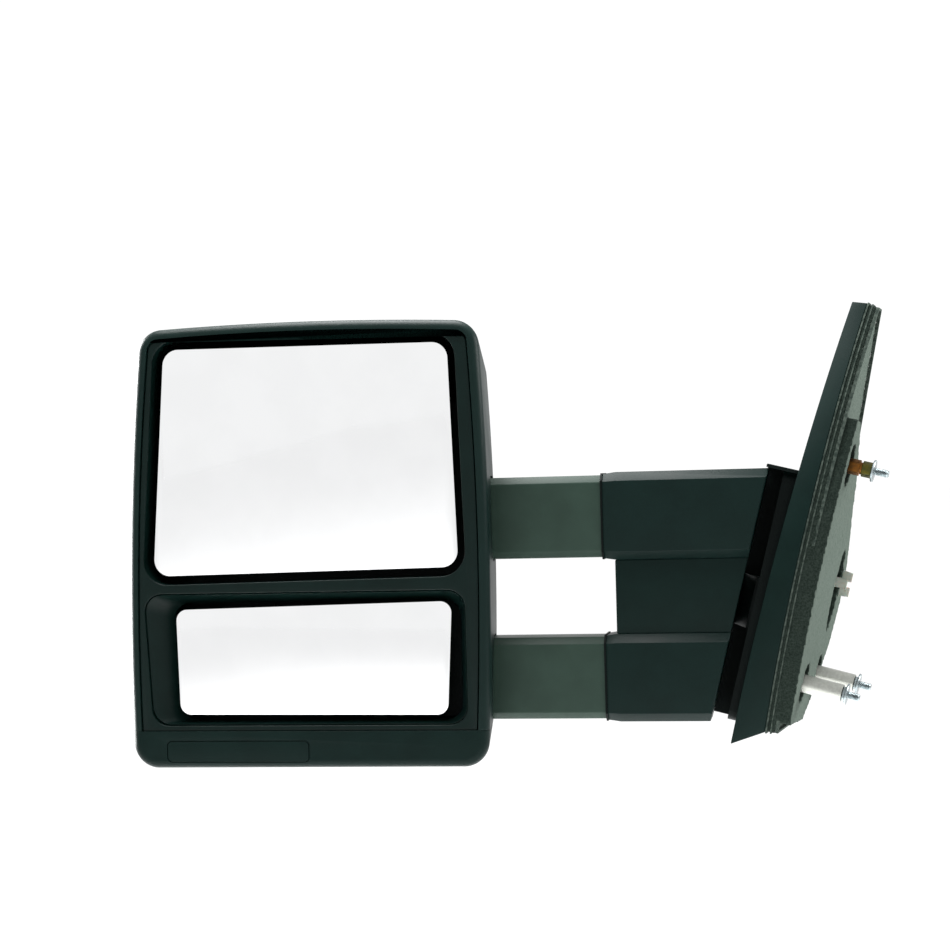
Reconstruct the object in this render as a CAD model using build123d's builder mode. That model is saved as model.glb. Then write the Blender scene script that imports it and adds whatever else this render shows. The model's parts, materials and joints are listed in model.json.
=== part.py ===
from build123d import *
import os
from math import cos, hypot, radians, sin, sqrt, tan

# Towing mirror for the left-hand door: a sail-shaped base on the door, a fold hinge, twin arms
# and a head that slides along them, with two tilting glasses.
# Frame: +X towards the door, +Y towards the front of the vehicle, +Z up, in millimetres.
# The origin lies on the inboard face of the door gasket.
os.makedirs("parts", exist_ok=True)

# ---------------------------------------------------------------- driving dimensions
door_tilt = 14.3            # lean of the door plane from the vertical, degrees
door_yaw = 9.0              # turn of the door plane towards the rear, degrees

# twin arms
arm_half_pitch = 62.5       # arm centre above and below the middle
rail_height = 63.5
rail_depth = 40.0
rail_chamfer = 5.5
rail_wall = 3.0
sleeve_margin = 2.25        # sleeve outside beyond the rail, each side
sleeve_wall = 2.0
head_inner_x = -248.6       # the head's inboard side at its fullest, with the arms drawn out
slide_travel = 78.0
slide_stop_gap = 4.3        # head to sleeve lip when the head is pushed right in
sleeve_start = head_inner_x + slide_travel + slide_stop_gap
guide_start = -340.0        # guide tubes inside the head
guide_end = -267.0
rail_far_end = guide_start - 12.0
rail_clearance = 0.3

# fold hinge
hinge_x = -83.8             # where the hinge axis crosses the arms' middle plane
sleeve_end = 20.0           # slanted sleeve end, inboard of the hinge axis
sleeve_end_wall = 4.5
sleeve_corner_r = 1.5
sleeve_lip_drop = 1.4       # the outboard lip tapers in this much
sleeve_lip_length = 10.0
knuckle_r = 13.0
knuckle_half = 26.0
lug_thickness = 13.4
lug_gap = 0.6
post_r = 6.0
post_clearance = 0.05
neck_half_height = 20.0
neck_front = 29.0           # forward face of the neck
neck_back = 3.0             # rear face of the neck where it enters the collar
neck_inner_x = 29.5         # the neck keeps this far inboard until it is forward of the sweep

# base
cover_rim = -18.5           # inboard rim of the cover, measured along the door normal
cover_mid = -36.5           # outboard face of the cover at the hinge level
cover_lean = 1.65           # the outboard face leans a little from the door plane, degrees
cover_drop = 15.0           # the outboard face reaches this much lower than the rim
cover_heel = 12.0           # and its lower rear corner this much further back
cover_wall = 2.5
collar_face = 31.7          # collar's outboard face, inboard of the hinge axis
collar_back = -9.0          # rear and front of the collar, from the hinge axis
collar_front = 35.0
collar_reach = 26.0         # into the cover
hood_back = -21.0           # the hood stands further back, level with the sleeves
hood_reach = 11.0           # from the collar's face to the cover
collar_corner_r = 9.0
swing_gap = 0.5             # between the folding sleeves and what stands round them
shield_thickness = 3.0
sheet_face = -11.0          # inboard face of the thin gasket sheet
plate_thickness = 6.0
stud_r = 3.0
flange_r = 8.6
flange_thickness = 1.6
spacer_r = 7.0
spacer_end = 30.0

# head
head_front = -62.0
head_back = 43.0
head_corner_r = 18.0
back_corner_r = 40.0
back_inset = 11.0           # the shell narrows this much towards the back
back_radius = 28.0
shell_wall = 2.8
rim_width = 8.5
rim_depth = 9.0
rim_radius = 7.0            # round of the rim's outer edge
groove = 0.8
trim_top = -97.0
trim_depth = 27.0
trim_face = 10.0            # thickness behind its face, and of its walls
trim_wall = 4.0
opening_gap = 6.5           # glass edge to bezel opening
bezel_drop = 1.2            # the bezel's face lies this far inside the shell's rim
bezel_back = -42.0
glass_front = -54.0
glass_thickness = 2.5
pad_thickness = 1.0
carrier_thickness = 3.5
carrier_inset = 3.0
tilt_axis_y = -38.0
pin_r = 1.95
pin_clearance = 0.05
frame_face_gap = 4.5        # the frame's front face stands this far off the rails
frame_thickness = 3.0

everywhere = 600.0          # wider than the whole mirror, for cuts that clear one side

# ---------------------------------------------------------------- planes
tilt = radians(door_tilt)
yaw = radians(door_yaw)
slant_up = Vector(sin(tilt), 0, cos(tilt))
inboard = Vector(cos(tilt), 0, -sin(tilt))
door_in = inboard * cos(yaw) - Vector(0, 1, 0) * sin(yaw)
door_forward = Vector(0, 1, 0) * cos(yaw) + inboard * sin(yaw)

# DOOR: x forward along the door, y up the slant, z inboard through the door
DOOR = Plane(origin=(0, 0, 0), x_dir=door_forward, z_dir=door_in)
# HINGE: x inboard, y forward, z up along the fold axis
HINGE = Plane(origin=(hinge_x, 0, 0), x_dir=inboard, z_dir=slant_up)
# ACROSS: looks outboard along the hinge's x, so its x is forward and its y is up the slant
ACROSS = Plane(origin=(hinge_x, 0, 0), x_dir=(0, 1, 0), z_dir=inboard)
# the arms' cross section: x forward, y up
ARM = Plane.YZ


def facing(y):
    """Plane across the head at y: its x is inboard, its y is up and its normal is rearward."""
    return Plane.XZ.offset(-y)


def arm_profile(x, centre_z, margin):
    """Chamfered box profile shared by rails, sleeves, guides and the holes they pass."""
    with BuildSketch(ARM.offset(x)) as profile:
        with Locations((0, centre_z)):
            Rectangle(rail_depth + 2 * margin, rail_height + 2 * margin)
        chamfer(profile.vertices(), rail_chamfer + (2 - sqrt(2)) * margin)
    return profile.sketch


# ---------------------------------------------------------------- base
sail_top = 224.0
sail_bottom = -115.0
sail_nose = 108.0           # furthest forward
sail_rear_bulge = -40.0
sail_heel = -8.0            # lower rear corner
sail_corner_r = 22.0


def sail_outline(plane, inset=0.0, drop=0.0, back=0.0):
    """Outline of the sail, drawn in by inset, with its heel moved down and back."""
    low = sail_bottom - drop
    heel = sail_heel - back
    with BuildSketch(plane) as outline:
        with BuildLine():
            ThreePointArc((heel, low), (sail_rear_bulge, 20), (8, sail_top))
            Polyline((8, sail_top), (24, sail_top), (sail_nose, 0), (sail_nose - 12, low + 53),
                     (sail_nose - 52, low + 3), (heel, low))
        make_face()
        front_corners = outline.vertices().sort_by(Axis.X)[-3:]
        fillet(front_corners, sail_corner_r)
        if inset:
            offset(amount=-inset, kind=Kind.INTERSECTION)
    return outline.sketch


def pad_outline(plane):
    """Outline of the raised part of the gasket, which stops below the sail's thin top."""
    with BuildSketch(plane) as outline:
        with BuildLine():
            ThreePointArc((-11, -105), (-38.5, 15), (-24, 134))
            Polyline((-24, 134), (-8, 134), (40, 90), (60, 62), (95, 22), (105, -8), (98, -45),
                     (66, -88), (46, -105), (-11, -105))
        make_face()
        fillet(outline.vertices().sort_by(Axis.X)[1:], 6)
    return outline.sketch


OUTER = Plane(origin=DOOR.from_local_coords((0, 0, cover_mid)), x_dir=door_forward,
              z_dir=door_in.rotate(Axis((0, 0, 0), door_forward), cover_lean))

upper_stud_at = (-12, 99)
lower_stud_at = [(12, -73), (70, -69)]
recess_at = (66, 0)
recess_depth = 6.0
clip_at = (76, 6)
pocket_gap = 0.9            # between a flange and its pocket's side
upper_pocket_length = 14.0
lower_pocket_length = 12.0
clip_hole = (12, 13)        # straight length and width
upper_spacer_end = 17.0
upper_stud_tip = 29.6
lower_stud_tip = 43.5
hex_height = 2.4

# collar round the neck: its ends stand level with the sleeves' top and bottom
sleeve_top = arm_half_pitch + rail_height / 2 + sleeve_margin
collar_top = (sleeve_top + collar_face * sin(tilt)) / cos(tilt)
collar_low = (collar_face * sin(tilt) - sleeve_top) / cos(tilt)
hood_under = (sleeve_top + sleeve_end * sin(tilt)) / cos(tilt) + swing_gap
# the shield keeps clear of the circle that the sleeves' end corners describe
shield_y = rail_depth / 2 + sleeve_margin + 2.2
swing_r = hypot(sleeve_end, rail_depth / 2 + sleeve_margin) + swing_gap
shield_start = sqrt(swing_r ** 2 - shield_y ** 2)
neck_gap = 2.0


def collar_outline(distance, inset=0.0):
    """Outline of the collar at a distance from the fold axis, drawn in by inset."""
    with BuildSketch(ACROSS.offset(distance)) as outline:
        with Locations(((collar_back + collar_front) / 2, (collar_top + collar_low) / 2)):
            RectangleRounded(collar_front - collar_back - 2 * inset,
                             collar_top - collar_low - 2 * inset, collar_corner_r - inset)
    return outline.sketch


with BuildPart() as base_cover:
    loft([sail_outline(DOOR.offset(cover_rim)), sail_outline(OUTER, 1.0, cover_drop, cover_heel)], ruled=True)
    loft([sail_outline(DOOR.offset(cover_rim), cover_wall),
          sail_outline(OUTER.offset(cover_wall), 1.0 + cover_wall, cover_drop, cover_heel)], ruled=True,
         mode=Mode.SUBTRACT)
    # window for the neck, as large as the collar's inside
    extrude(collar_outline(collar_face + cover_wall, cover_wall), amount=collar_reach,
            mode=Mode.SUBTRACT)
base_cover.part.label = "base_cover"
export_step(base_cover.part, "parts/base_cover.step")

with BuildPart() as pivot_collar:
    extrude(collar_outline(collar_face), amount=collar_reach)
    # hood over the sleeves' ends
    with BuildSketch(ACROSS.offset(shield_start)) as hood:
        with Locations(((hood_back + collar_front) / 2, (hood_under + collar_top) / 2)):
            Rectangle(collar_front - hood_back, collar_top - hood_under)
    extrude(amount=collar_face - shield_start + hood_reach)
    extrude(collar_outline(collar_face + cover_wall, cover_wall), amount=collar_reach,
            mode=Mode.SUBTRACT)
    # opening for the neck
    with BuildSketch(ACROSS.offset(collar_face)):
        with Locations(((neck_back + neck_front) / 2, 0)):
            Rectangle(neck_front - neck_back + 2 * neck_gap, 2 * (neck_half_height + neck_gap))
    extrude(amount=cover_wall, mode=Mode.SUBTRACT)
    # the collar stops on the cover's outer face
    with BuildPart(mode=Mode.PRIVATE) as sail_block:
        loft([sail_outline(DOOR.offset(cover_rim)), sail_outline(OUTER, 1.0, cover_drop, cover_heel)],
             ruled=True)
    add(sail_block.part, mode=Mode.SUBTRACT)
pivot_collar.part.label = "pivot_collar"
export_step(pivot_collar.part, "parts/pivot_collar.step")

with BuildPart() as hinge_shields:
    with BuildSketch(ACROSS.offset(shield_start)) as shield:
        with Locations((shield_y + shield_thickness / 2, (hood_under + collar_low) / 2)):
            Rectangle(shield_thickness, hood_under - collar_low)
        with Locations((shield_y + shield_thickness / 2, 0)):
            Rectangle(shield_thickness, 2 * neck_half_height, mode=Mode.SUBTRACT)
    extrude(amount=collar_face - shield_start)
hinge_shields.part.label = "hinge_shields"
export_step(hinge_shields.part, "parts/hinge_shields.step")

with BuildPart() as base_bracket:
    # mounting plate inside the cover
    extrude(sail_outline(DOOR.offset(cover_rim), 6.0), amount=-plate_thickness)
    # neck, which leaves the knuckle on its forward side and passes outside the arms' sweep
    with BuildSketch(HINGE.offset(-neck_half_height)) as neck:
        with BuildLine():
            Polyline((-8, 4), (-6, 22), (-2, neck_front), (64, neck_front), (64, neck_back),
                     (neck_inner_x, neck_back), (neck_inner_x - 10, 22), (6, 10), close=True)
        make_face()
    extrude(amount=2 * neck_half_height)
    with BuildSketch(DOOR.offset(cover_rim)):
        Rectangle(everywhere, everywhere)
    extrude(amount=everywhere, mode=Mode.SUBTRACT)
    # knuckle on the fold axis
    with BuildSketch(HINGE.offset(-knuckle_half)):
        Circle(knuckle_r)
    extrude(amount=2 * knuckle_half)
    with BuildSketch(HINGE.offset(-knuckle_half)):
        Circle(post_r)
    extrude(amount=2 * knuckle_half, mode=Mode.SUBTRACT)
    # stud holes
    with BuildSketch(DOOR.offset(cover_rim)):
        with Locations(upper_stud_at, *lower_stud_at):
            Circle(stud_r)
    extrude(amount=-plate_thickness, mode=Mode.SUBTRACT)
base_bracket.part.label = "base_bracket"
export_step(base_bracket.part, "parts/base_bracket.step")

with BuildPart() as base_gasket:
    extrude(sail_outline(DOOR.offset(cover_rim), 1.0), amount=sheet_face - cover_rim)
    extrude(pad_outline(DOOR.offset(sheet_face)), amount=-sheet_face)
    # pockets round the studs, the clip's hole and the long recess
    pocket_width = 2 * (flange_r + pocket_gap)
    with BuildSketch(DOOR.offset(cover_rim)):
        with Locations(upper_stud_at):
            SlotCenterToCenter(upper_pocket_length, pocket_width, rotation=90)
        with Locations(*lower_stud_at):
            SlotCenterToCenter(lower_pocket_length, pocket_width, rotation=90)
        with Locations(clip_at):
            SlotCenterToCenter(*clip_hole, rotation=90)
    extrude(amount=-cover_rim, mode=Mode.SUBTRACT)
    with BuildSketch(DOOR.offset(-recess_depth)):
        with Locations(recess_at):
            Ellipse(13, 33)
    extrude(amount=recess_depth, mode=Mode.SUBTRACT)
base_gasket.part.label = "base_gasket"
export_step(base_gasket.part, "parts/base_gasket.step")

with BuildPart() as base_seal_lip:
    lip_inset = 1.5
    lip_width = 1.8
    lip_height = 2.5
    extrude(sail_outline(DOOR.offset(sheet_face), lip_inset), amount=lip_height)
    extrude(sail_outline(DOOR.offset(sheet_face), lip_inset + lip_width), amount=lip_height,
            mode=Mode.SUBTRACT)
    extrude(pad_outline(DOOR.offset(sheet_face)), amount=lip_height, mode=Mode.SUBTRACT)
base_seal_lip.part.label = "base_seal_lip"
export_step(base_seal_lip.part, "parts/base_seal_lip.step")

with BuildPart() as upper_stud:
    with BuildSketch(DOOR.offset(cover_rim - plate_thickness)):
        with Locations(upper_stud_at):
            Circle(stud_r)
    extrude(amount=upper_stud_tip - cover_rim + plate_thickness)
    chamfer(upper_stud.edges().sort_by(lambda edge: edge.center().dot(door_in))[-1], 0.8)
    with BuildSketch(DOOR.offset(upper_spacer_end)):
        with Locations(upper_stud_at):
            Circle(flange_r)
    extrude(amount=flange_thickness)
upper_stud.part.label = "upper_stud"
export_step(upper_stud.part, "parts/upper_stud.step")

with BuildPart() as upper_stud_hex:
    with BuildSketch(DOOR.offset(cover_rim)):
        with Locations(upper_stud_at):
            RegularPolygon(5.4, 6, major_radius=False)
    extrude(amount=upper_spacer_end - cover_rim)
    with BuildSketch(DOOR.offset(8.0)) as waist:
        with Locations(upper_stud_at):
            Circle(8)
            Circle(4.6, mode=Mode.SUBTRACT)
    extrude(amount=1.4, mode=Mode.SUBTRACT)
    with BuildSketch(DOOR.offset(cover_rim)):
        with Locations(upper_stud_at):
            Circle(stud_r)
    extrude(amount=upper_spacer_end - cover_rim, mode=Mode.SUBTRACT)
upper_stud_hex.part.label = "upper_stud_hex"
export_step(upper_stud_hex.part, "parts/upper_stud_hex.step")

with BuildPart() as lower_studs:
    for place in lower_stud_at:
        with BuildSketch(DOOR.offset(cover_rim - plate_thickness)):
            with Locations(place):
                Circle(stud_r)
        extrude(amount=lower_stud_tip - cover_rim + plate_thickness)
        with BuildSketch(DOOR.offset(spacer_end)):
            with Locations(place):
                RegularPolygon(5.0, 6, major_radius=False)
        extrude(amount=hex_height)
        with BuildSketch(DOOR.offset(spacer_end + hex_height)):
            with Locations(place):
                Circle(flange_r)
        extrude(amount=flange_thickness)
lower_studs.part.label = "lower_studs"
export_step(lower_studs.part, "parts/lower_studs.step")

with BuildPart() as stud_spacers:
    with BuildSketch(DOOR.offset(cover_rim)):
        with Locations(*lower_stud_at):
            Circle(spacer_r)
            Circle(stud_r, mode=Mode.SUBTRACT)
    extrude(amount=spacer_end - cover_rim)
stud_spacers.part.label = "stud_spacers"
export_step(stud_spacers.part, "parts/stud_spacers.step")

with BuildPart() as locating_clip:
    # foot on the bracket, stem and two sprung wings
    with BuildSketch(DOOR.offset(cover_rim)):
        with Locations(clip_at):
            Circle(5.5)
    extrude(amount=1.5)
    with BuildSketch(DOOR.offset(cover_rim)):
        with Locations(clip_at):
            Rectangle(3.0, 8.0)
    extrude(amount=-cover_rim + 6.0)
    for side in (-1, 1):
        with BuildSketch(DOOR.offset(1.0)):
            with Locations((clip_at[0], clip_at[1] + side * 6.0)):
                Rectangle(2.4, 9.0)
        extrude(amount=8.0, taper=6)
locating_clip.part.label = "locating_clip"
export_step(locating_clip.part, "parts/locating_clip.step")

# ---------------------------------------------------------------- fold hinge
lug_top = knuckle_half + lug_gap + lug_thickness
spring_length = 13.0

with BuildPart() as pivot_post:
    with BuildSketch(HINGE.offset(-lug_top - 3.0)):
        Circle(11.0)
    extrude(amount=2.8)
    with BuildSketch(HINGE.offset(-lug_top - 0.4)):
        Circle(post_r)
    extrude(amount=2 * lug_top + spring_length + 4.0)
pivot_post.part.label = "pivot_post"
export_step(pivot_post.part, "parts/pivot_post.step")

with BuildPart() as thrust_washers:
    for height in (knuckle_half, -knuckle_half - 0.5):
        with BuildSketch(HINGE.offset(height)):
            Circle(12.0)
            Circle(post_r, mode=Mode.SUBTRACT)
        extrude(amount=0.5)
thrust_washers.part.label = "thrust_washers"
export_step(thrust_washers.part, "parts/thrust_washers.step")

with BuildPart() as pivot_spring:
    wire_r = 1.1
    coil_r = 8.6
    spring_base = lug_top + wire_r + 0.3
    with BuildLine() as coil:
        Helix(pitch=3.1, height=spring_length - 2 * wire_r - 0.8, radius=coil_r,
              center=HINGE.offset(spring_base).origin, direction=slant_up)
    with BuildSketch(Plane(origin=coil.line @ 0, z_dir=coil.line % 0)):
        Circle(wire_r)
    sweep(path=coil.line)
pivot_spring.part.label = "pivot_spring"
export_step(pivot_spring.part, "parts/pivot_spring.step")

with BuildPart() as spring_cap:
    with BuildSketch(HINGE.offset(lug_top + spring_length)):
        Circle(11.5)
        Circle(post_r, mode=Mode.SUBTRACT)
    extrude(amount=2.4)
spring_cap.part.label = "spring_cap"
export_step(spring_cap.part, "parts/spring_cap.step")

# ---------------------------------------------------------------- arms
spine_x = sleeve_start + 16.3
spine_width = 22.0
spigot_length = 26.0
spine_half_depth = rail_depth / 2 - 6.8
casting_arm_low = 31.5
casting_arm_height = 12.0
cavity_half = rail_depth / 2 + sleeve_margin - sleeve_wall


def keep_outboard_of(distance):
    """Cut away everything further inboard than distance from the fold axis."""
    with BuildSketch(ACROSS.offset(distance)) as beyond:
        Rectangle(everywhere, everywhere)
    extrude(beyond.sketch, amount=everywhere, mode=Mode.SUBTRACT)


with BuildPart() as carrier_casting:
    # spine joining both arms
    with BuildSketch(ARM.offset(spine_x)):
        Rectangle(2 * spine_half_depth, 2 * (arm_half_pitch + 24))
    extrude(amount=spine_width)
    # arms from the spine to the lugs
    for side in (1, -1):
        mid_z = side * (casting_arm_low + casting_arm_height / 2)
        lug_x = hinge_x + mid_z * tan(tilt)
        with BuildSketch(ARM.offset(spine_x)):
            with Locations((0, mid_z)):
                Rectangle(2 * spine_half_depth - 3, casting_arm_height)
        extrude(amount=lug_x - spine_x)
    # lugs over and under the knuckle
    for height in (knuckle_half + lug_gap, -lug_top):
        with BuildSketch(HINGE.offset(height)):
            Circle(knuckle_r - 0.8)
        extrude(amount=lug_thickness)
    # room for the knuckle, the post, its head and its spring
    with BuildSketch(HINGE.offset(-knuckle_half - lug_gap)):
        Circle(knuckle_r + 1.0)
    extrude(amount=2 * (knuckle_half + lug_gap), mode=Mode.SUBTRACT)
    with BuildSketch(HINGE):
        Circle(post_r + post_clearance)
    extrude(amount=lug_top, both=True, mode=Mode.SUBTRACT)
    clearing = 30.0
    for height in (lug_top, -lug_top - clearing):
        with BuildSketch(HINGE.offset(height)):
            Circle(knuckle_r - 1.0)
        extrude(amount=clearing, mode=Mode.SUBTRACT)
    # spigots inside the rails
    for side in (1, -1):
        extrude(arm_profile(spine_x, side * arm_half_pitch, -rail_wall - 0.2), amount=-spigot_length)
carrier_casting.part.label = "carrier_casting"
export_step(carrier_casting.part, "parts/carrier_casting.step")

sleeve_blank = -sleeve_start + 14.0        # sleeve length before its slanted end is cut

for side, name in ((1, "upper"), (-1, "lower")):
    centre = side * arm_half_pitch
    with BuildPart() as sleeve:
        extrude(arm_profile(sleeve_start, centre, sleeve_margin), amount=sleeve_blank)
        keep_outboard_of(sleeve_end)
        end_edges = sleeve.edges().filter_by(Axis((0, 0, 0), slant_up))
        fillet(end_edges, sleeve_corner_r)
        lip = sleeve.faces().sort_by(Axis.X)[0]
        chamfer(lip.outer_wire().edges(), sleeve_lip_drop, sleeve_lip_length, reference=lip)
        # hollow inside, closed at the slanted end
        with BuildPart(mode=Mode.PRIVATE) as hollow:
            extrude(arm_profile(sleeve_start, centre, sleeve_margin - sleeve_wall), amount=sleeve_blank)
            keep_outboard_of(sleeve_end - sleeve_end_wall)
        add(hollow.part, mode=Mode.SUBTRACT)
        # passage for the lug and for the casting's spine
        with BuildSketch(HINGE.offset(-knuckle_half - 11)):
            Circle(knuckle_r + 1.5)
        extrude(amount=2 * knuckle_half + 22, mode=Mode.SUBTRACT)
        with BuildSketch(ARM.offset(spine_x - 1)):
            Rectangle(2 * spine_half_depth + 2, 2 * arm_half_pitch)
        extrude(amount=spine_width + 2, mode=Mode.SUBTRACT)
    sleeve.part.label = name + "_sleeve"
    export_step(sleeve.part, "parts/" + name + "_sleeve.step")

    with BuildPart() as rail:
        length = spine_x - rail_far_end
        extrude(arm_profile(rail_far_end, centre, 0), amount=length)
        extrude(arm_profile(rail_far_end, centre, -rail_wall), amount=length,
                mode=Mode.SUBTRACT)
    rail.part.label = name + "_rail"
    export_step(rail.part, "parts/" + name + "_rail.step")

    with BuildPart() as rail_cap:
        extrude(arm_profile(rail_far_end, centre, -0.4), amount=-3)
        extrude(arm_profile(rail_far_end, centre, -rail_wall), amount=9)
        extrude(arm_profile(rail_far_end, centre, -rail_wall - 2.5), amount=9,
                mode=Mode.SUBTRACT)
    rail_cap.part.label = name + "_rail_cap"
    export_step(rail_cap.part, "parts/" + name + "_rail_cap.step")

panel_half = arm_half_pitch - rail_height / 2 - sleeve_margin
panel_start = sleeve_start + 8.3
panel_face = rail_depth / 2 - 4.0
panel_wall = 2.5
panel_end = {"rear": sleeve_end, "front": -32.0}    # from the fold axis, clear of the neck

for side, name in ((-1, "rear"), (1, "front")):
    with BuildPart() as mid_cover:
        with BuildSketch(ARM.offset(panel_start)):
            with Locations((side * (panel_face - panel_wall / 2), 0)):
                Rectangle(panel_wall, 2 * panel_half)
        extrude(amount=120)
        keep_outboard_of(panel_end[name])
        # the rear cover also closes the outboard end
        if side < 0:
            with BuildSketch(ARM.offset(panel_start)):
                Rectangle(2 * (panel_face - panel_wall), 2 * panel_half)
            extrude(amount=panel_wall)
    mid_cover.part.label = "mid_cover_" + name
    export_step(mid_cover.part, "parts/mid_cover_" + name + ".step")

# ---------------------------------------------------------------- head shell
def head_outline(y, inset=0.0, corner_r=head_corner_r):
    """Outline of the head at depth y, drawn in by inset."""
    with BuildSketch(facing(y)) as outline:
        with BuildLine():
            ThreePointArc((-524 + inset, 217 - inset), (-390, 220 - inset),
                          (-254 - inset, 215.5 - inset))
            ThreePointArc((-254 - inset, 215.5 - inset), (head_inner_x - inset, 60),
                          (-253.5 - inset, -126 + inset))
            Line((-253.5 - inset, -126 + inset), (-536 + inset, -127 + inset))
            ThreePointArc((-536 + inset, -127 + inset), (-535.4 + inset, 60),
                          (-524 + inset, 217 - inset))
        make_face()
        fillet(outline.vertices(), corner_r)
    return outline.sketch


def head_block(front, back, inset=0.0):
    """Solid of the head from front to back, narrowing rearwards as the shell does."""
    sections = []
    for y in (front, back):
        way = (y - head_front) / (head_back - head_front)
        corner_r = head_corner_r - inset + way * (back_corner_r - head_corner_r)
        sections.append(head_outline(y, inset + way * back_inset, corner_r))
    return loft(sections, ruled=True)


upper_corners = [(-505.6, 201.5), (-278.6, 200), (-273.9, 27), (-518.2, 23.5)]
lower_corners = [(-500.6, -2.5), (-279.8, 1.5), (-284.8, -86), (-498.7, -85)]
lower_opening_corners = [(-524.5, 10.2), (-268.5, 10.2), (-268.5, -92.9), (-519, -92.9)]
glass_corner_r = 13.0


def four_sided(y, corners, radius, inset=0.0):
    """Four-sided outline with round corners on the plane at y."""
    with BuildSketch(facing(y)) as outline:
        with BuildLine():
            Polyline(*corners, close=True)
        make_face()
        fillet(outline.vertices(), radius)
        if inset:
            offset(amount=-inset)
    return outline.sketch


notch_gap = 1.5             # round each rail where it enters the shell
blank_size = (114.4, 16.8)  # recess for the blank panel
blank_at = (-450.5, -112.7)
blank_gap = 0.5
blank_depth = 2.5

with BuildPart() as housing_shell:
    head_block(head_front, head_back)
    fillet(housing_shell.faces().sort_by(Axis.Y)[-1].edges(), back_radius)
    fillet(housing_shell.faces().sort_by(Axis.Y)[0].edges(), rim_radius)
    with BuildPart(mode=Mode.PRIVATE) as cavity:
        head_block(head_front + rim_depth, head_back - shell_wall, shell_wall)
        fillet(cavity.faces().sort_by(Axis.Y)[-1].edges(), back_radius - shell_wall)
    add(cavity.part, mode=Mode.SUBTRACT)
    extrude(head_outline(head_front, rim_width, head_corner_r - rim_width),
            amount=-rim_depth - 1, mode=Mode.SUBTRACT)
    # notches where the rails enter
    for side in (1, -1):
        extrude(arm_profile(guide_end - 8, side * arm_half_pitch, notch_gap), amount=40,
                mode=Mode.SUBTRACT)
    # room for the chin trim
    with BuildSketch(facing(head_front)):
        with Locations((0, trim_top)):
            Rectangle(4 * everywhere, everywhere, align=(Align.CENTER, Align.MAX))
    extrude(amount=-trim_depth, mode=Mode.SUBTRACT)
housing_shell.part.label = "housing_shell"
export_step(housing_shell.part, "parts/housing_shell.step")

with BuildPart() as bottom_trim:
    head_block(head_front, head_front + trim_depth)
    fillet(bottom_trim.faces().sort_by(Axis.Y)[0].edges(), rim_radius)
    with BuildSketch(facing(head_front)):
        with Locations((0, trim_top)):
            Rectangle(4 * everywhere, everywhere, align=(Align.CENTER, Align.MIN))
    extrude(amount=-trim_depth, mode=Mode.SUBTRACT)
    with BuildPart(mode=Mode.PRIVATE) as trim_hollow:
        head_block(head_front + trim_face, head_front + trim_depth, trim_wall)
    add(trim_hollow.part, mode=Mode.SUBTRACT)
    # recess for the blank panel
    with BuildSketch(facing(head_front)) as recess:
        with Locations(blank_at):
            RectangleRounded(*blank_size, 4)
    extrude(amount=-blank_depth, mode=Mode.SUBTRACT)
bottom_trim.part.label = "bottom_trim"
export_step(bottom_trim.part, "parts/bottom_trim.step")

with BuildPart() as blank_panel:
    with BuildSketch(facing(head_front)):
        with Locations(blank_at):
            RectangleRounded(blank_size[0] - 2 * blank_gap, blank_size[1] - 2 * blank_gap, 3.5)
    extrude(amount=-blank_depth)
blank_panel.part.label = "blank_panel"
export_step(blank_panel.part, "parts/blank_panel.step")

with BuildPart() as bezel:
    rim_and_groove = rim_width + groove
    extrude(head_outline(head_front + bezel_drop, rim_and_groove, head_corner_r - rim_and_groove),
            amount=head_front + bezel_drop - bezel_back)
    extrude(four_sided(head_front, upper_corners, glass_corner_r, -opening_gap),
            amount=-40, mode=Mode.SUBTRACT)
    extrude(four_sided(head_front, lower_opening_corners, 14.0), amount=-40, mode=Mode.SUBTRACT)
    with BuildSketch(facing(head_front)):
        with Locations((0, trim_top)):
            Rectangle(4 * everywhere, everywhere, align=(Align.CENTER, Align.MAX))
    extrude(amount=-40, mode=Mode.SUBTRACT)
bezel.part.label = "bezel"
export_step(bezel.part, "parts/bezel.step")

# ---------------------------------------------------------------- head frame and guides
guide_wall = 3.6
frame_front = -rail_depth / 2 - frame_face_gap
frame_back = frame_front + frame_thickness
post_places = [(-424, 140), (-292, 125), (-432, 0), (-292, 0)]

with BuildPart() as head_frame:
    with BuildSketch(facing(frame_front)) as plate:
        with Locations((-351, 34)):
            RectangleRounded(182, 240, 10)
    extrude(amount=-frame_thickness)
    for side in (1, -1):
        extrude(arm_profile(guide_start, side * arm_half_pitch, guide_wall),
                amount=guide_end - guide_start)
    for side in (1, -1):
        extrude(arm_profile(guide_start, side * arm_half_pitch, 1.6),
                amount=guide_end - guide_start, mode=Mode.SUBTRACT)
    with BuildSketch(facing(frame_front)):
        with Locations(*post_places):
            Circle(2.0)
    extrude(amount=-frame_thickness, mode=Mode.SUBTRACT)
head_frame.part.label = "head_frame"
export_step(head_frame.part, "parts/head_frame.step")

with BuildPart() as rail_bushings:
    bushing_length = 14.0
    for side in (1, -1):
        for start in (guide_start, guide_end - bushing_length):
            extrude(arm_profile(start, side * arm_half_pitch, 1.6), amount=bushing_length)
            extrude(arm_profile(start, side * arm_half_pitch, rail_clearance),
                    amount=bushing_length, mode=Mode.SUBTRACT)
rail_bushings.part.label = "rail_bushings"
export_step(rail_bushings.part, "parts/rail_bushings.step")

with BuildPart() as frame_posts:
    with BuildSketch(facing(frame_back)):
        with Locations(*post_places):
            Circle(5.0)
            Circle(2.0, mode=Mode.SUBTRACT)
    extrude(amount=frame_back - head_back + shell_wall)
frame_posts.part.label = "frame_posts"
export_step(frame_posts.part, "parts/frame_posts.step")

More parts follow.
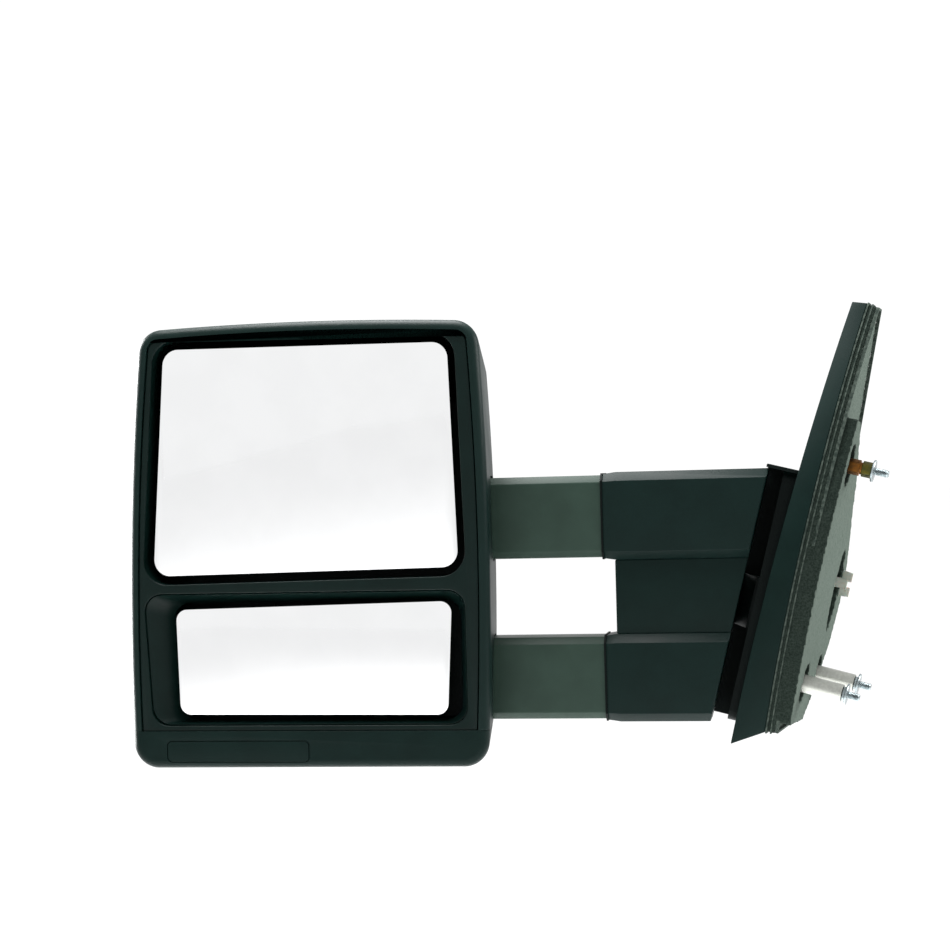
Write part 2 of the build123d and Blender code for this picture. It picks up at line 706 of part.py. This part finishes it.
with BuildPart() as frame_screws:
    with BuildSketch(facing(frame_front)):
        with Locations(*post_places):
            Circle(4.0)
    extrude(amount=1.8)
    with BuildSketch(facing(frame_front)):
        with Locations(*post_places):
            Circle(2.0)
    extrude(amount=-14)
frame_screws.part.label = "frame_screws"
export_step(frame_screws.part, "parts/frame_screws.step")

# ---------------------------------------------------------------- glasses and their pivots
carrier_front = glass_front + glass_thickness + pad_thickness
carrier_back = carrier_front + carrier_thickness
ear_inner = 27.0
ear_thickness = 5.0
ear_width = 12.0
ring_half = 24.5
ring_bore_half = 17.0
ring_depth = 7.0

for name, corners, radius, centre in (("upper", upper_corners, glass_corner_r, (-396, 112.5)),
                                      ("lower", lower_corners, 9.0, (-391, -42.7))):
    with BuildPart() as socket:
        with BuildSketch(facing(frame_front)):
            with Locations(centre):
                Rectangle(2 * (ear_inner + ear_thickness) + 4, 24)
        extrude(amount=4)
        with BuildSketch(facing(frame_front - 4)):
            with Locations(centre):
                with Locations((ear_inner + ear_thickness / 2, 0), (-ear_inner - ear_thickness / 2, 0)):
                    Rectangle(ear_thickness, ear_width)
        extrude(amount=13.5)
        with BuildSketch(Plane(origin=(centre[0], tilt_axis_y, centre[1]), z_dir=(1, 0, 0))):
            Circle(pin_r + pin_clearance)
        extrude(amount=60, both=True, mode=Mode.SUBTRACT)
    socket.part.label = name + "_pivot_socket"
    export_step(socket.part, "parts/" + name + "_pivot_socket.step")

    with BuildPart() as gimbal:
        with BuildSketch(facing(tilt_axis_y - ring_depth / 2)):
            with Locations(centre):
                Rectangle(2 * ring_half, 2 * ring_half)
                Rectangle(2 * ring_bore_half, 2 * ring_bore_half, mode=Mode.SUBTRACT)
        extrude(amount=-ring_depth)
        for direction in ((1, 0, 0), (-1, 0, 0), (0, 0, 1), (0, 0, -1)):
            start = Vector(centre[0], tilt_axis_y, centre[1]) + Vector(direction) * (ring_half - 1)
            with BuildSketch(Plane(origin=start, z_dir=direction)):
                Circle(pin_r)
            extrude(amount=ear_inner + ear_thickness - ring_half + 1.5)
    gimbal.part.label = name + "_gimbal"
    export_step(gimbal.part, "parts/" + name + "_gimbal.step")

    with BuildPart() as carrier:
        extrude(four_sided(carrier_front, corners, radius, carrier_inset),
                amount=-carrier_thickness)
        with BuildSketch(facing(carrier_back)):
            with Locations(centre):
                with Locations((0, ear_inner + ear_thickness / 2), (0, -ear_inner - ear_thickness / 2)):
                    Rectangle(ear_width, ear_thickness)
        extrude(amount=-(tilt_axis_y + 3.8 - carrier_back))
        with BuildSketch(Plane(origin=(centre[0], tilt_axis_y, centre[1]), z_dir=(0, 0, 1))):
            Circle(pin_r + pin_clearance)
        extrude(amount=60, both=True, mode=Mode.SUBTRACT)
    carrier.part.label = name + "_glass_carrier"
    export_step(carrier.part, "parts/" + name + "_glass_carrier.step")

    with BuildPart() as pad:
        extrude(four_sided(glass_front + glass_thickness, corners, radius, carrier_inset + 2),
                amount=-pad_thickness)
    pad.part.label = name + "_glass_pad"
    export_step(pad.part, "parts/" + name + "_glass_pad.step")

    with BuildPart() as glass:
        extrude(four_sided(glass_front, corners, radius), amount=-glass_thickness)
    glass.part.label = name + "_glass"
    export_step(glass.part, "parts/" + name + "_glass.step")
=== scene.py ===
import json
from math import cos, pi, radians, sin
import bpy
from mathutils import Matrix, Vector


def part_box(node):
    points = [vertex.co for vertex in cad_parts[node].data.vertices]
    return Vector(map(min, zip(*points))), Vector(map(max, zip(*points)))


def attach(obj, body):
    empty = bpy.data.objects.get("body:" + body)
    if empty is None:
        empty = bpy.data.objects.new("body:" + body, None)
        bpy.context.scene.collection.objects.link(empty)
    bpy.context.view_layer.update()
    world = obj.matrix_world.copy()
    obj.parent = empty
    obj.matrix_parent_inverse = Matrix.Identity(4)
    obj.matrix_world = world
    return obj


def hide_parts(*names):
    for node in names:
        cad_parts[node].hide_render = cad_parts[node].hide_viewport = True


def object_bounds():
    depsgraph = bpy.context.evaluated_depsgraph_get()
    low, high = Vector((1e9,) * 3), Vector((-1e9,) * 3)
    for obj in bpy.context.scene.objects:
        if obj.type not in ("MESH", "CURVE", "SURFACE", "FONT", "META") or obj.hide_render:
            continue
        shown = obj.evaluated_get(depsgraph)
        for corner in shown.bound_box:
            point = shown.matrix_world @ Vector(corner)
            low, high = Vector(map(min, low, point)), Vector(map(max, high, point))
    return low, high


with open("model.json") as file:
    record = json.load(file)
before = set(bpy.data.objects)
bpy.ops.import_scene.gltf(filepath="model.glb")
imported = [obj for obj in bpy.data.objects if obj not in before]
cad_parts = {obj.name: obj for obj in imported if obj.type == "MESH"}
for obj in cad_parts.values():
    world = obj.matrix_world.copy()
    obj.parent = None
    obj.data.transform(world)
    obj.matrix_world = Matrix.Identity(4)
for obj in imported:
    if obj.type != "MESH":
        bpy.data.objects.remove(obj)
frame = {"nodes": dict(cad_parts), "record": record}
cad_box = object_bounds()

# ---- Studio ----
# A plain pale floor well under the mirror, white surroundings and soft boxes overhead and at
# the sides. The camera stands behind the vehicle, a little inboard, level with the head.
scene = bpy.context.scene
scene.view_settings.view_transform = "Standard"
head_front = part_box("housing_shell")[0].y
look_at = Vector((-0.258, head_front, 0.097))
camera_turn = radians(10.0)
camera_roll = radians(-1.5)
camera_distance = 1.5
camera_data = bpy.data.cameras.new("studio_camera")
camera_data.sensor_width = 36.0
camera_data.lens = 74.9
camera = bpy.data.objects.new("studio_camera", camera_data)
scene.collection.objects.link(camera)
camera.location = look_at + camera_distance * Vector((sin(camera_turn), -cos(camera_turn), 0))
camera.rotation_euler = (Matrix.Rotation(camera_turn, 3, "Z") @ Matrix.Rotation(pi / 2, 3, "X")
                         @ Matrix.Rotation(camera_roll, 3, "Z")).to_euler()
scene.camera = camera

world = bpy.data.worlds.new("white_room")
scene.world = world
world.use_nodes = True
world.node_tree.nodes["Background"].inputs["Color"].default_value = (1.0, 1.0, 1.0, 1.0)
world.node_tree.nodes["Background"].inputs["Strength"].default_value = 1.05

floor_drop = 0.45
bpy.ops.object.select_all(action="DESELECT")
bpy.ops.mesh.primitive_circle_add(vertices=64, radius=60.0, fill_type="NGON",
                                  location=(0, 0, cad_box[0].z - floor_drop))
floor = bpy.context.object
floor.name = "floor"
floor_paint = bpy.data.materials.new("pale_floor")
floor_paint.use_nodes = True
floor_shader = floor_paint.node_tree.nodes["Principled BSDF"]
floor_shader.inputs["Base Color"].default_value = (0.97, 0.97, 0.97, 1.0)
floor_shader.inputs["Roughness"].default_value = 0.9
floor_shader.inputs["Specular IOR Level"].default_value = 0.1
floor.data.materials.append(floor_paint)


def soft_box(name, place, aim, size, power):
    """One rectangular soft light aimed at a point."""
    data = bpy.data.lights.new(name, "AREA")
    data.shape = "RECTANGLE"
    data.size, data.size_y = size
    data.energy = power
    light = bpy.data.objects.new(name, data)
    light.location = place
    light.rotation_euler = (Vector(aim) - Vector(place)).to_track_quat("-Z", "Y").to_euler()
    scene.collection.objects.link(light)


mirror_middle = (-0.28, 0.0, 0.05)
soft_box("overhead_box", (-0.45, 0.05, 1.2), mirror_middle, (1.0, 0.8), 55)
soft_box("left_box", (-1.05, 0.22, 0.15), mirror_middle, (0.3, 0.7), 26)
soft_box("right_box", (1.3, 0.3, 0.4), mirror_middle, (0.6, 1.0), 40)


# ---- Housing shell ----
# The head's outer casing, injection moulded in black ABS with a fine spark-eroded texture.
# Its rear is one deep bowl with soft corners, and its rim turns in round the bezel.
def finish(name, color, roughness, metallic=0.0, specular=0.12, mottle=0.08, mottle_size=0.03,
           grain=0.0007, grain_depth=0.25, second=None, spread=0.12):
    """A surface with uneven colour and sheen and a fine grain, laid out in Object coordinates."""
    made = bpy.data.materials.new(name)
    made.use_nodes = True
    tree = made.node_tree
    shader = tree.nodes["Principled BSDF"]
    shader.inputs["Metallic"].default_value = metallic
    shader.inputs["Specular IOR Level"].default_value = specular
    place = tree.nodes.new("ShaderNodeTexCoord")
    clouds = tree.nodes.new("ShaderNodeTexNoise")
    clouds.inputs["Scale"].default_value = 1.0 / mottle_size
    clouds.inputs["Detail"].default_value = 5.0
    tree.links.new(place.outputs["Object"], clouds.inputs["Vector"])
    tint = tree.nodes.new("ShaderNodeValToRGB")
    low = second or [c * (1.0 - mottle) for c in color]
    high = color if second else [c * (1.0 + mottle) for c in color]
    tint.color_ramp.elements[0].position = 0.5 - spread
    tint.color_ramp.elements[0].color = (*low, 1.0)
    tint.color_ramp.elements[1].position = 0.5 + spread
    tint.color_ramp.elements[1].color = (*high, 1.0)
    tree.links.new(clouds.outputs["Fac"], tint.inputs["Fac"])
    tree.links.new(tint.outputs["Color"], shader.inputs["Base Color"])
    sheen = tree.nodes.new("ShaderNodeMapRange")
    sheen.inputs["To Min"].default_value = roughness * 0.85
    sheen.inputs["To Max"].default_value = min(1.0, roughness * 1.15)
    tree.links.new(clouds.outputs["Fac"], sheen.inputs["Value"])
    tree.links.new(sheen.outputs["Result"], shader.inputs["Roughness"])
    pits = tree.nodes.new("ShaderNodeTexNoise")
    pits.inputs["Scale"].default_value = 1.0 / grain
    pits.inputs["Detail"].default_value = 2.0
    tree.links.new(place.outputs["Object"], pits.inputs["Vector"])
    bump = tree.nodes.new("ShaderNodeBump")
    bump.inputs["Strength"].default_value = grain_depth
    bump.inputs["Distance"].default_value = grain * 0.4
    tree.links.new(pits.outputs["Fac"], bump.inputs["Height"])
    tree.links.new(bump.outputs["Normal"], shader.inputs["Normal"])
    return made


node_body = {node: body for body, nodes in frame["record"]["behaviour"]["bodies"].items()
             for node in nodes}
node_slot = {row["node"]: row["material_slot"] for row in frame["record"]["subparts"]}


def settle(piece, material, body):
    """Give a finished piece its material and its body."""
    piece.data.materials.clear()
    piece.data.materials.append(material)
    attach(piece, body)


def merged_copy(node, name):
    """A copy of a CAD node as one welded mesh with its flat faces whole, ready for shaping."""
    piece = bpy.data.objects.new(name, frame["nodes"][node].data.copy())
    scene.collection.objects.link(piece)
    bpy.ops.object.select_all(action="DESELECT")
    piece.select_set(True)
    bpy.context.view_layer.objects.active = piece
    bpy.ops.object.mode_set(mode="EDIT")
    bpy.ops.mesh.select_all(action="SELECT")
    bpy.ops.mesh.remove_doubles(threshold=0.000002)
    bpy.ops.mesh.dissolve_limited(angle_limit=radians(0.6))
    bpy.ops.object.mode_set(mode="OBJECT")
    return piece


def soften(piece, width, segments=3, angle=25.0):
    """Round every sharp edge of a piece and smooth what curves."""
    bpy.context.view_layer.objects.active = piece
    bevel = piece.modifiers.new("edge_radius", "BEVEL")
    bevel.width = width
    bevel.segments = segments
    bevel.limit_method = "ANGLE"
    bevel.angle_limit = radians(angle)
    bevel.use_clamp_overlap = True
    bpy.ops.object.modifier_apply(modifier=bevel.name)
    bpy.ops.object.select_all(action="DESELECT")
    piece.select_set(True)
    bpy.context.view_layer.objects.active = piece
    bpy.ops.object.shade_smooth_by_angle(angle=radians(angle))


def moulded(node, name, material, width, segments=3):
    """A CAD node shown with the edge radii of the real moulding or casting."""
    piece = merged_copy(node, name)
    soften(piece, width, segments)
    settle(piece, material, node_body[node])
    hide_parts(node)
    return piece


shell_plastic = finish("textured_shell", (0.0028, 0.0098, 0.0084), 0.42, specular=0.09,
                       mottle=0.04)
moulded("housing_shell", "head_casing", shell_plastic, 0.0022, 4)

# ---- Chin trim and blank panel ----
# A separate black moulding clips under the casing along a straight parting line. The opening
# for an optional lamp in it is closed by a flush panel that snaps in from behind.
trim_plastic = finish("textured_trim", (0.0022, 0.0082, 0.0070), 0.45, specular=0.07)
moulded("bottom_trim", "chin_trim", trim_plastic, 0.0010)
moulded("blank_panel", "lamp_blank", trim_plastic, 0.0006)

# ---- Bezel ----
# One smooth black moulding frames both glasses. Its edges are well rounded, and it is screwed
# to the frame from inside and sits a hair's breadth inside the casing's rim.
bezel_plastic = finish("smooth_bezel", (0.0016, 0.0066, 0.0056), 0.34, specular=0.10,
                       grain_depth=0.12)
moulded("bezel", "glass_bezel", bezel_plastic, 0.0016, 4)

# ---- Lower recess liner ----
# The lower glass is narrower than its opening, so a thin moulded funnel leads from the bezel's
# opening back towards the glass. It is widest on the outboard side.
liner_front = [(-0.5240, 0.0097), (-0.2690, 0.0097), (-0.2690, -0.0924), (-0.5185, -0.0924)]
liner_wall = 0.0012
liner_corner = 0.014
liner_face_gap = 0.0024     # the liner's front edge behind the bezel's face
liner_back_gap = 0.0010
liner_slip = (0.0063, -0.0029)      # how far its back end is shifted, across and up
liner_shrink = (0.905, 0.91)
liner_back = (-0.390, -0.0443)
bezel_low, bezel_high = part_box("bezel")
liner_end = bezel_high.y - liner_back_gap
liner_depth = liner_end - bezel_low.y - liner_face_gap
bpy.ops.object.select_all(action="DESELECT")
bpy.ops.mesh.primitive_plane_add(size=0.2, location=(0, 0, 0))
liner = bpy.context.object
liner.name = "lower_recess_liner"
for vertex, (x, z) in zip([liner.data.vertices[i] for i in (2, 3, 1, 0)], liner_front):
    vertex.co = (x, bezel_low.y + liner_face_gap, z)
bpy.ops.object.mode_set(mode="EDIT")
bpy.ops.mesh.select_all(action="SELECT")
bpy.ops.mesh.bevel(offset=liner_corner, segments=6, affect="VERTICES")
bpy.ops.mesh.delete(type="ONLY_FACE")
bpy.ops.mesh.select_all(action="SELECT")
bpy.ops.mesh.extrude_region_move(
    TRANSFORM_OT_translate={"value": (liner_slip[0], liner_depth, liner_slip[1])})
bpy.ops.transform.resize(value=(liner_shrink[0], 1.0, liner_shrink[1]),
                         center_override=(liner_back[0], liner_end, liner_back[1]))
bpy.ops.object.mode_set(mode="OBJECT")
wall = liner.modifiers.new("wall", "SOLIDIFY")
wall.thickness = liner_wall
wall.offset = 0.0
bpy.ops.object.modifier_apply(modifier=wall.name)
bpy.ops.object.mode_set(mode="EDIT")
bpy.ops.mesh.select_all(action="SELECT")
bpy.ops.mesh.normals_make_consistent(inside=False)
bpy.ops.object.mode_set(mode="OBJECT")
bpy.ops.object.shade_smooth_by_angle(angle=radians(30))
settle(liner, bezel_plastic, "head")

# ---- Glasses ----
# Silvered flat glass with ground, slightly rounded edges, each bonded to a black carrier plate
# by a foam pad. The upper one is the main view and the lower one the wide-angle view.
silver = finish("silvered_glass", (0.845, 0.85, 0.855), 0.03, metallic=1.0, mottle=0.01,
                grain_depth=0.02)
foam_tape = finish("foam_tape", (0.02, 0.02, 0.02), 0.9, grain=0.0012, grain_depth=0.6)
plain_black = finish("plain_black", (0.0015, 0.0030, 0.0028), 0.6, specular=0.06)
for row in ("upper", "lower"):
    moulded(row + "_glass", row + "_mirror_glass", silver, 0.0006)
    moulded(row + "_glass_carrier", row + "_backing_plate", plain_black, 0.0005, 2)
    moulded(row + "_pivot_socket", row + "_socket_block", plain_black, 0.0006, 2)

# ---- Arms ----
# Two box tubes with chamfered corners, painted satin black, slide through guides in the head.
# Thin-walled sleeves of the same section cover them near the hinge, and end on a slant. A thin
# black ring round the tube at each sleeve's mouth is painted shade for the shadow gap there.
rail_paint = finish("satin_rail", (0.0185, 0.0340, 0.0260), 0.42, specular=0.10, grain_depth=0.15)
sleeve_paint = finish("satin_sleeve", (0.0022, 0.0086, 0.0074), 0.42, specular=0.08)
for row in ("upper", "lower"):
    moulded(row + "_rail", row + "_rail_tube", rail_paint, 0.0008)
    moulded(row + "_sleeve", row + "_arm_sleeve", sleeve_paint, 0.0009)

# the black rings at the sleeves' mouths are painted shade for the gap between tube and sleeve
mouth_shade_width = 0.0014
mouth_shade_height = 0.0016
for row in ("upper", "lower"):
    sleeve_low, sleeve_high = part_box(row + "_sleeve")
    rail_low, rail_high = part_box(row + "_rail")
    mouth_shade_ring = merged_copy(row + "_rail", row + "_sleeve_mouth_shade")
    bpy.ops.object.mode_set(mode="EDIT")
    for edge, side in ((sleeve_low.x - mouth_shade_width, -1), (sleeve_low.x, 1)):
        bpy.ops.mesh.select_all(action="SELECT")
        bpy.ops.mesh.bisect(plane_co=(edge, 0, 0), plane_no=(side, 0, 0),
                            use_fill=True, clear_outer=True)
    bpy.ops.mesh.select_all(action="SELECT")
    middle = (rail_low + rail_high) / 2
    reach = [1.0 + 2 * mouth_shade_height / (rail_high[i] - rail_low[i]) for i in (1, 2)]
    bpy.ops.transform.resize(value=(1.0, *reach), center_override=middle)
    bpy.ops.object.mode_set(mode="OBJECT")
    settle(mouth_shade_ring, plain_black, "carrier")

# ---- Middle covers ----
# Flat moulded covers close the space between the sleeves in front and behind, and hide the
# casting that joins the two arms. They snap over the sleeves' inner edges.
for side in ("rear", "front"):
    moulded("mid_cover_" + side, side + "_middle_cover", trim_plastic, 0.0008)

# ---- Base cover, collar and shields ----
# The sail-shaped cover is one textured moulding over the bracket. The cast collar stands on it
# round the hinge's neck. Its upward faces take the sleeves' finish and the rest its near-black coat,
# which also stands in as painted shade on its rear face; dark shields fill the gap to the sleeves as
# painted shade.
cast_black = finish("cast_black", (0.0014, 0.0036, 0.0033), 0.45, specular=0.07, grain=0.0012,
                    grain_depth=0.35)
sail_plastic = finish("textured_sail", (0.0022, 0.0082, 0.0070), 0.55, specular=0.05)
moulded("base_cover", "sail_cover", sail_plastic, 0.0016, 4)
hinge_collar = moulded("pivot_collar", "hinge_collar", cast_black, 0.0014)
shade_split_lift = 0.5             # faces of the collar that look up more than this take the sleeves' finish; the rest stay near-black as painted shade
hinge_collar.data.materials.append(sleeve_paint)
# upward faces get the sleeves' lighter finish and the others the near-black cast finish, which is
# partly the collar's coat and partly painted shade on its rear face
for face in hinge_collar.data.polygons:
    face.material_index = 1 if face.normal.z > shade_split_lift else 0
# black shields fill the gap between collar and sleeves: painted shade for the shadow in that gap
moulded("hinge_shields", "gap_shade_shields", plain_black, 0.0004, 2)

# ---- Gasket ----
# Closed-cell foam faced with short flock seals the base against the door. Its face is dusty
# grey-green, its sides take a darker copy of the foam as painted shade, and two thin rubber ridges
# run round it at the cover's rim.
door = next(mount for mount in frame["record"]["mounts"] if mount["name"] == "door_face")
door_in = Vector(door["axis"])
flock = finish("flocked_face", (0.066, 0.082, 0.070), 0.95, specular=0.04,
               second=(0.034, 0.046, 0.038), mottle_size=0.0014, grain=0.0007,
               grain_depth=0.6, spread=0.25)
# a darker copy of the foam, used as painted shade on the gasket's sides
shaded_foam_side = finish("shaded_foam_side", (0.020, 0.028, 0.023), 0.95, specular=0.04,
                  second=(0.005, 0.009, 0.007), mottle_size=0.0012, grain=0.0007,
                  grain_depth=0.6, spread=0.2)
ridge_rubber = finish("ridge_rubber", (0.050, 0.064, 0.054), 0.85, specular=0.05,
                      second=(0.018, 0.026, 0.022), mottle_size=0.003)
foam_cell = 0.0016
foam_ripple = 0.0012
face_share = 0.75           # how squarely a foam face looks at the door to keep the face colour rather than the painted shade
gasket = merged_copy("base_gasket", "foam_gasket")
cells = gasket.modifiers.new("foam_cells", "REMESH")
cells.mode = "VOXEL"
cells.voxel_size = foam_cell
bpy.ops.object.modifier_apply(modifier=cells.name)
fuzz = bpy.data.textures.new("foam_fuzz", "CLOUDS")
fuzz.noise_scale = 0.004
fuzz.noise_depth = 2
ripple = gasket.modifiers.new("foam_ripple", "DISPLACE")
ripple.texture = fuzz
ripple.strength = foam_ripple
bpy.ops.object.modifier_apply(modifier=ripple.name)
bpy.ops.object.shade_smooth()
settle(gasket, flock, "base")
gasket.data.materials.append(shaded_foam_side)
# faces that do not look squarely at the door get the darker copy: painted shade on the sides
for face in gasket.data.polygons:
    face.material_index = 0 if face.normal.dot(door_in) > face_share else 1
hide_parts("base_gasket")


def gasket_ridge(name, inner, outer, grow):
    """A thin band round the gasket between two depths along the door's normal."""
    ridge = merged_copy("base_gasket", name)
    bpy.ops.object.mode_set(mode="EDIT")
    for depth, side in ((inner, -1), (outer, 1)):
        bpy.ops.mesh.select_all(action="SELECT")
        bpy.ops.mesh.bisect(plane_co=depth * door_in, plane_no=side * door_in,
                            use_fill=True, clear_outer=True)
    bpy.ops.mesh.select_all(action="SELECT")
    low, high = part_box("base_gasket")
    bpy.ops.transform.resize(value=(grow, grow, grow), center_override=(low + high) / 2)
    bpy.ops.object.mode_set(mode="OBJECT")
    soften(ridge, 0.0004, 2)
    settle(ridge, ridge_rubber, "base")


for name, inner, outer, grow in (("rim_ridge", -0.0182, -0.0170, 1.010),
                                 ("second_ridge", -0.0146, -0.0136, 1.007)):
    gasket_ridge(name, inner, outer, grow)
moulded("base_seal_lip", "top_seal_lip", ridge_rubber, 0.0004, 2)

# ---- Studs, nuts and spacers ----
# M6 studs in bright zinc hold the base to the door, with threaded ends and pressed flanges.
# The lower pair stand in plain turned spacers, and the upper one in a yellow-zinc hex sleeve.
zinc = finish("bright_zinc", (0.24, 0.28, 0.29), 0.28, metallic=1.0, mottle=0.2,
              mottle_size=0.004, grain_depth=0.1)
aluminium = finish("turned_aluminium", (0.36, 0.37, 0.34), 0.34, metallic=1.0, mottle=0.08,
                   mottle_size=0.002, grain=0.0004, grain_depth=0.15)
amber_zinc = finish("amber_zinc", (0.17, 0.065, 0.012), 0.30, metallic=1.0,
                    second=(0.11, 0.05, 0.015), mottle_size=0.004, grain_depth=0.1)
olive_zinc = finish("olive_zinc", (0.085, 0.074, 0.016), 0.32, metallic=1.0,
                    second=(0.05, 0.055, 0.018), mottle_size=0.004, grain_depth=0.1)
# heights along a stud are measured from the gasket's face
thread_pitch = 0.0010
thread_root = 0.00255
thread_crest = 0.0030
tip_radius = 0.0019
flange_radius = 0.0086
flange_height = 0.0016
edge_round = 0.0003
hex_edge = 0.0005
foot_height = -0.0180
upper_stud_start = 0.0100
upper_flange = 0.0170
upper_tip = 0.0296
upper_hex_across = 0.0108
inner_hex_top = 0.0078
outer_hex_foot = 0.0092
waist_radius = 0.0046
lower_stud_start = 0.0290
lower_flange = 0.0324
lower_tip = 0.0435
lower_nut_across = 0.0100
spacer_radius = 0.0070
spacer_end = 0.0300


def onto_stud(piece, mount):
    """Move a piece modelled along z so that z runs along the stud from the gasket's face."""
    axis = Vector(mount["axis"])
    foot = Vector(mount["pos_m"])
    foot -= (foot - Vector(door["pos_m"])).dot(axis) * axis
    piece.data.transform(Matrix.Translation(foot) @ axis.to_track_quat("Z", "Y").to_matrix().to_4x4())


def turned(name, rings, sides=40):
    """A turned piece: a disc drawn out along z through rings of (height, radius)."""
    bpy.ops.object.select_all(action="DESELECT")
    height, radius = rings[0]
    bpy.ops.mesh.primitive_circle_add(vertices=sides, radius=radius, fill_type="NGON")
    piece = bpy.context.object
    piece.name = name
    bpy.ops.object.mode_set(mode="EDIT")
    bpy.ops.mesh.select_all(action="SELECT")
    bpy.ops.transform.translate(value=(0, 0, height))
    for next_height, next_radius in rings[1:]:
        bpy.ops.mesh.extrude_region_move(
            TRANSFORM_OT_translate={"value": (0, 0, next_height - height)})
        share = next_radius / radius
        bpy.ops.transform.resize(value=(share, share, 1.0), center_override=(0, 0, next_height))
        height, radius = next_height, next_radius
    bpy.ops.mesh.select_all(action="SELECT")
    bpy.ops.mesh.normals_make_consistent(inside=False)
    bpy.ops.object.mode_set(mode="OBJECT")
    bpy.ops.object.shade_smooth_by_angle(angle=radians(28))
    return piece


def stud_rings(start, flange, tip):
    """Plain shank, flange with rounded edges, then a thread up to a chamfered tip."""
    top = flange + flange_height
    rings = [(start, thread_crest), (flange, thread_crest),
             (flange + 0.0001, flange_radius - edge_round),
             (flange + edge_round, flange_radius), (top - edge_round, flange_radius),
             (top, flange_radius - edge_round), (top + 0.0001, thread_root)]
    height = top + 0.0008
    while height + thread_pitch < tip - 0.0006:
        rings += [(height, thread_root), (height + 0.45 * thread_pitch, thread_crest),
                  (height + 0.55 * thread_pitch, thread_crest)]
        height += thread_pitch
    return rings + [(height, thread_root), (tip - edge_round, thread_root), (tip, tip_radius)]


def hexagon(name, across, low, high):
    """A hexagonal bar with eased edges and corners, from low to high along z."""
    bpy.ops.object.select_all(action="DESELECT")
    bpy.ops.mesh.primitive_cylinder_add(vertices=6, radius=across / 2 / cos(pi / 6),
                                        depth=high - low)
    piece = bpy.context.object
    piece.name = name
    bpy.ops.object.mode_set(mode="EDIT")
    bpy.ops.mesh.select_all(action="SELECT")
    bpy.ops.transform.translate(value=(0, 0, (low + high) / 2))
    bpy.ops.mesh.bevel(offset=hex_edge, segments=2, affect="EDGES")
    bpy.ops.object.mode_set(mode="OBJECT")
    bpy.ops.object.shade_smooth_by_angle(angle=radians(20))
    return piece


mounts = {mount["name"]: mount for mount in frame["record"]["mounts"]}
upper_stud = turned("upper_stud_body", stud_rings(upper_stud_start, upper_flange, upper_tip))
onto_stud(upper_stud, mounts["upper_stud"])
settle(upper_stud, zinc, "base")
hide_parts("upper_stud")
for name, low, high, metal in (("inner_hex_sleeve", foot_height, inner_hex_top, amber_zinc),
                               ("outer_hex_sleeve", outer_hex_foot, upper_flange, olive_zinc)):
    sleeve = hexagon(name, upper_hex_across, low, high)
    onto_stud(sleeve, mounts["upper_stud"])
    settle(sleeve, metal, "base")
    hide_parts("upper_stud_hex")
waist = turned("hex_sleeve_waist", [(inner_hex_top - 0.0008, waist_radius),
                                    (outer_hex_foot + 0.0008, waist_radius)])
onto_stud(waist, mounts["upper_stud"])
settle(waist, amber_zinc, "base")
spacer_rings = [(foot_height, spacer_radius - 0.0004), (foot_height + 0.0004, spacer_radius),
                (spacer_end - 0.0007, spacer_radius), (spacer_end - 0.0002, spacer_radius - 0.0002),
                (spacer_end, spacer_radius - 0.0006), (spacer_end, 0.0032)]
for side in ("rear", "front"):
    mount = mounts["lower_stud_" + side]
    stud = turned("lower_stud_body_" + side, stud_rings(lower_stud_start, lower_flange, lower_tip))
    nut = hexagon("lower_nut_" + side, lower_nut_across, spacer_end, lower_flange)
    spacer = turned("spacer_" + side, spacer_rings, 64)
    for piece, metal, slot, node in ((stud, zinc, "zinc", "lower_studs"),
                                     (nut, zinc, "zinc", "lower_studs"),
                                     (spacer, aluminium, "spacer_aluminium", "stud_spacers")):
        onto_stud(piece, mount)
        settle(piece, metal, "base")
        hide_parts(node)

# ---- Locating clip ----
# A push-in clip of natural nylon holds the base in place while the nuts are run on. Its two
# sprung wings are thin and slightly see-through.
nylon = finish("natural_nylon", (0.26, 0.28, 0.24), 0.45, mottle=0.06, specular=0.3)
nylon.node_tree.nodes["Principled BSDF"].inputs["Subsurface Weight"].default_value = 0.3
nylon.node_tree.nodes["Principled BSDF"].inputs["Subsurface Scale"].default_value = 0.002
moulded("locating_clip", "push_clip", nylon, 0.0006)

# ---- Bracket, hinge and head insides ----
# The cast bracket, carrier and head frame, the pivot post with its spring, the nylon bushings
# and the gimbals work out of sight. They keep their machined shapes, with their own finishes.
hidden = {
    "casting_black": cast_black,
    "inner_black": plain_black,
    "nylon_natural": nylon,
    "adhesive_foam": foam_tape,
    "zinc": zinc,
    "spring_steel": finish("spring_steel", (0.20, 0.21, 0.22), 0.35, metallic=1.0),
}
for node, piece in frame["nodes"].items():
    if not piece.hide_render:
        piece.data.materials.clear()
        piece.data.materials.append(hidden[node_slot[node]])
